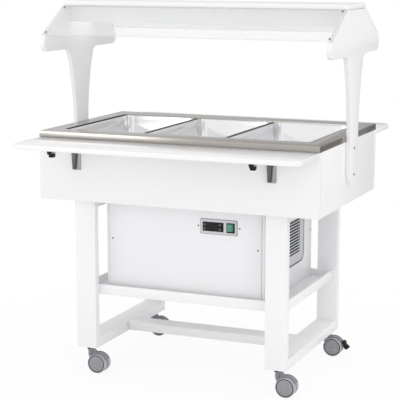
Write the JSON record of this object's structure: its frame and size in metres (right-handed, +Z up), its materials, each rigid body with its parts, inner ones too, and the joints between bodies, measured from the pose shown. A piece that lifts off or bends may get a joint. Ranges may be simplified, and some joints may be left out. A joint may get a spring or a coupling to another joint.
{
  "type": "refrigerated trolley",
  "caption": "Cold buffet trolley with a cooled well for food pans, breath screens under a lit top shelf, folding tray slides, a machine housing and swivel casters.",
  "frame": {"origin": "on the floor under the middle of the trolley", "axes": "+Z up; +X along the length towards the end with the vent grille; -Y towards the operator's side with the controller and the main switch"},
  "size_m": [1.1506, 1.151, 1.418],
  "materials": {
    "white_board": "satin",
    "gloss_laminate": "gloss",
    "painted_sheet": "satin",
    "brushed_stainless": "satin",
    "polished_stainless": "polished",
    "insulating_foam": "matte",
    "copper_pipe": "satin",
    "zinc_plate": "satin",
    "black_plastic": "satin",
    "black_enamel": "gloss",
    "condenser_fins": "matte",
    "motor_casing": "satin",
    "caster_plastic": "satin",
    "wheel_plastic": "satin",
    "vent_plastic": "satin",
    "bezel_plastic": "satin",
    "rocker_plastic": "gloss",
    "clear_glass": "polished",
    "opal_diffuser": "satin",
    "lamp_enamel": "gloss"
  },
  "bodies": {
    "cart": {"front_panel": "white_board", "rear_panel": "white_board", "left_end_panel": "white_board", "right_end_panel": "white_board", "bottom_panel": "white_board", "insulation": "insulating_foam", "tank": "brushed_stainless", "cooling_coil": "copper_pipe", "rim_frame": "brushed_stainless", "left_divider_bar": "brushed_stainless", "right_divider_bar": "brushed_stainless", "left_gable": "white_board", "right_gable": "white_board", "top_shelf": "white_board", "light_housing": "painted_sheet", "lamp_tube": "lamp_enamel", "diffuser": "opal_diffuser", "front_screen": "clear_glass", "rear_screen": "clear_glass", "front_left_wall_leg": "zinc_plate", "front_right_wall_leg": "zinc_plate", "rear_left_wall_leg": "zinc_plate", "rear_right_wall_leg": "zinc_plate", "left_side_frame": "white_board", "right_side_frame": "white_board", "cross_bar": "white_board", "lower_tray": "white_board", "machine_cover": "painted_sheet", "vent_grille": "vent_plastic", "service_panel": "painted_sheet", "control_bezel": "bezel_plastic", "temperature_controller": "black_plastic", "compressor": "black_enamel", "condenser": "condenser_fins", "fan_motor": "motor_casing"},
    "front_slide": {"front_tray_slide": "gloss_laminate", "front_left_folding_arm": "zinc_plate", "front_right_folding_arm": "zinc_plate"},
    "rear_slide": {"rear_tray_slide": "gloss_laminate", "rear_left_folding_arm": "zinc_plate", "rear_right_folding_arm": "zinc_plate"},
    "front_left_lever": {"front_left_release_lever": "black_plastic"},
    "front_right_lever": {"front_right_release_lever": "black_plastic"},
    "rear_left_lever": {"rear_left_release_lever": "black_plastic"},
    "rear_right_lever": {"rear_right_release_lever": "black_plastic"},
    "left_food_pan": {"left_pan": "polished_stainless"},
    "middle_food_pan": {"middle_pan": "polished_stainless"},
    "right_food_pan": {"right_pan": "polished_stainless"},
    "front_left_caster": {"front_left_caster_fork": "caster_plastic"},
    "front_right_caster": {"front_right_caster_fork": "caster_plastic"},
    "rear_left_caster": {"rear_left_caster_fork": "caster_plastic"},
    "rear_right_caster": {"rear_right_caster_fork": "caster_plastic"},
    "front_left_wheel": {"front_left_twin_wheel": "wheel_plastic"},
    "front_right_wheel": {"front_right_twin_wheel": "wheel_plastic"},
    "rear_left_wheel": {"rear_left_twin_wheel": "wheel_plastic"},
    "rear_right_wheel": {"rear_right_twin_wheel": "wheel_plastic"},
    "rear_left_brake": {"rear_left_brake_pedal": "black_plastic"},
    "rear_right_brake": {"rear_right_brake_pedal": "black_plastic"},
    "main_switch": {"switch_rocker": "rocker_plastic"},
    "fan_rotor": {"condenser_fan": "black_plastic"}
  },
  "joints": [
    {"name": "front_slide_fold", "type": "hinge", "parent": "cart", "child": "front_slide", "pos_m": [0, -0.37, 0.885], "axis": [1, 0, 0], "range_deg": [0, 90]},
    {"name": "rear_slide_fold", "type": "hinge", "parent": "cart", "child": "rear_slide", "pos_m": [0, 0.37, 0.885], "axis": [-1, 0, 0], "range_deg": [0, 90]},
    {"name": "front_left_lever_pull", "type": "slide", "parent": "front_slide", "child": "front_left_lever", "axis": [0, -1, 0], "range_m": [0, 0.006], "stiffness_N_per_m": 300, "springref_m": -0.003},
    {"name": "front_right_lever_pull", "type": "slide", "parent": "front_slide", "child": "front_right_lever", "axis": [0, -1, 0], "range_m": [0, 0.006], "stiffness_N_per_m": 300, "springref_m": -0.003},
    {"name": "rear_left_lever_pull", "type": "slide", "parent": "rear_slide", "child": "rear_left_lever", "axis": [0, 1, 0], "range_m": [0, 0.006], "stiffness_N_per_m": 300, "springref_m": -0.003},
    {"name": "rear_right_lever_pull", "type": "slide", "parent": "rear_slide", "child": "rear_right_lever", "axis": [0, 1, 0], "range_m": [0, 0.006], "stiffness_N_per_m": 300, "springref_m": -0.003},
    {"name": "left_pan_lift", "type": "slide", "parent": "cart", "child": "left_food_pan", "axis": [0, 0, 1], "range_m": [0, 0.15]},
    {"name": "middle_pan_lift", "type": "slide", "parent": "cart", "child": "middle_food_pan", "axis": [0, 0, 1], "range_m": [0, 0.15]},
    {"name": "right_pan_lift", "type": "slide", "parent": "cart", "child": "right_food_pan", "axis": [0, 0, 1], "range_m": [0, 0.15]},
    {"name": "front_left_caster_swivel", "type": "hinge", "parent": "cart", "child": "front_left_caster", "pos_m": [-0.385, -0.286, 0.1], "axis": [0, 0, 1], "continuous": true},
    {"name": "front_right_caster_swivel", "type": "hinge", "parent": "cart", "child": "front_right_caster", "pos_m": [0.385, -0.286, 0.1], "axis": [0, 0, 1], "continuous": true},
    {"name": "rear_left_caster_swivel", "type": "hinge", "parent": "cart", "child": "rear_left_caster", "pos_m": [-0.385, 0.286, 0.1], "axis": [0, 0, 1], "continuous": true},
    {"name": "rear_right_caster_swivel", "type": "hinge", "parent": "cart", "child": "rear_right_caster", "pos_m": [0.385, 0.286, 0.1], "axis": [0, 0, 1], "continuous": true},
    {"name": "front_left_wheel_spin", "type": "hinge", "parent": "front_left_caster", "child": "front_left_wheel", "pos_m": [-0.35, -0.286, 0.0375], "axis": [0, 1, 0], "continuous": true},
    {"name": "front_right_wheel_spin", "type": "hinge", "parent": "front_right_caster", "child": "front_right_wheel", "pos_m": [0.42, -0.286, 0.0375], "axis": [0, 1, 0], "continuous": true},
    {"name": "rear_left_wheel_spin", "type": "hinge", "parent": "rear_left_caster", "child": "rear_left_wheel", "pos_m": [-0.35, 0.286, 0.0375], "axis": [0, 1, 0], "continuous": true},
    {"name": "rear_right_wheel_spin", "type": "hinge", "parent": "rear_right_caster", "child": "rear_right_wheel", "pos_m": [0.42, 0.286, 0.0375], "axis": [0, 1, 0], "continuous": true},
    {"name": "rear_left_brake_press", "type": "hinge", "parent": "rear_left_caster", "child": "rear_left_brake", "pos_m": [-0.3083, 0.286, 0.0483], "axis": [0, 1, 0], "range_deg": [0, 12]},
    {"name": "rear_right_brake_press", "type": "hinge", "parent": "rear_right_caster", "child": "rear_right_brake", "pos_m": [0.4617, 0.286, 0.0483], "axis": [0, 1, 0], "range_deg": [0, 12]},
    {"name": "main_switch_rock", "type": "hinge", "parent": "cart", "child": "main_switch", "pos_m": [0.189, -0.2651, 0.606], "axis": [1, 0, 0], "range_deg": [0, 15]},
    {"name": "condenser_fan_spin", "type": "hinge", "parent": "cart", "child": "fan_rotor", "pos_m": [0.258, 0.0105, 0.4593], "axis": [1, 0, 0], "continuous": true}
  ]
}
